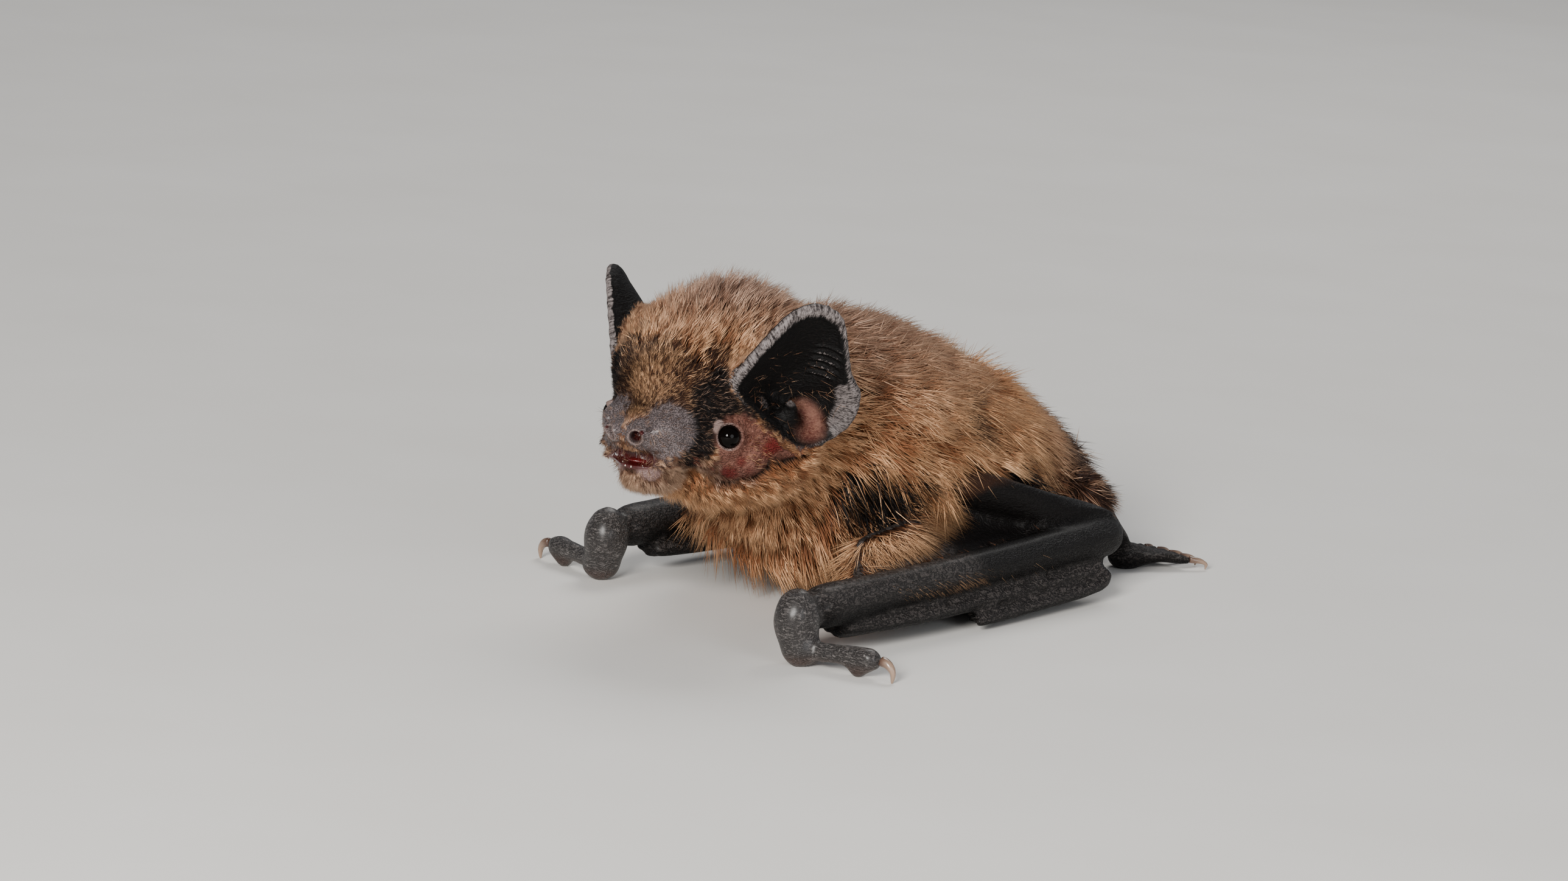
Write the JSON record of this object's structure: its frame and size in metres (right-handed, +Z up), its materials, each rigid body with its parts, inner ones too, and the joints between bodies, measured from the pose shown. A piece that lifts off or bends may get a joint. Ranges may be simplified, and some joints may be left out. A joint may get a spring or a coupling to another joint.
{
  "type": "pipistrelle bat",
  "caption": "Crouching pipistrelle bat with wings folded along its body, furred, with open rounded ears, as a still life-size model.",
  "frame": {"origin": "centre of the bat's length and width, on the floor it rests on", "axes": "-Y the way the nose points, +X the bat's left, +Z up"},
  "size_m": [0.0352, 0.0498, 0.0217],
  "materials": {
    "fur": "golden-brown fur, dark at the roots",
    "skin": "wrinkled charcoal-black skin",
    "eye": "glossy black",
    "claw": "pale horn",
    "tongue": "moist red"
  },
  "bodies": {
    "root": {"abdomen": "fur", "chest": "fur", "head": "fur", "left_arm_skin": "skin", "left_ear": "skin", "left_eye": "eye", "left_finger_3": "skin", "left_finger_4": "skin", "left_finger_5": "skin", "left_flank_skin": "skin", "left_foot": "skin", "left_forearm": "skin", "left_shin": "skin", "left_tail_skin": "skin", "left_thigh": "fur", "left_thumb": "skin", "left_thumb_claw": "claw", "left_toe_claw_1": "claw", "left_toe_claw_2": "claw", "left_toe_claw_3": "claw", "left_toe_claw_4": "claw", "left_toe_claw_5": "claw", "left_tragus": "skin", "left_upper_arm": "skin", "left_wrist": "skin", "lower_jaw": "fur", "neck": "fur", "right_arm_skin": "skin", "right_ear": "skin", "right_eye": "eye", "right_finger_3": "skin", "right_finger_4": "skin", "right_finger_5": "skin", "right_flank_skin": "skin", "right_foot": "skin", "right_forearm": "skin", "right_shin": "skin", "right_tail_skin": "skin", "right_thigh": "fur", "right_thumb": "skin", "right_thumb_claw": "claw", "right_toe_claw_1": "claw", "right_toe_claw_2": "claw", "right_toe_claw_3": "claw", "right_toe_claw_4": "claw", "right_toe_claw_5": "claw", "right_tragus": "skin", "right_upper_arm": "skin", "right_wrist": "skin", "tail": "skin", "tongue": "tongue"}
  },
  "joints": []
}
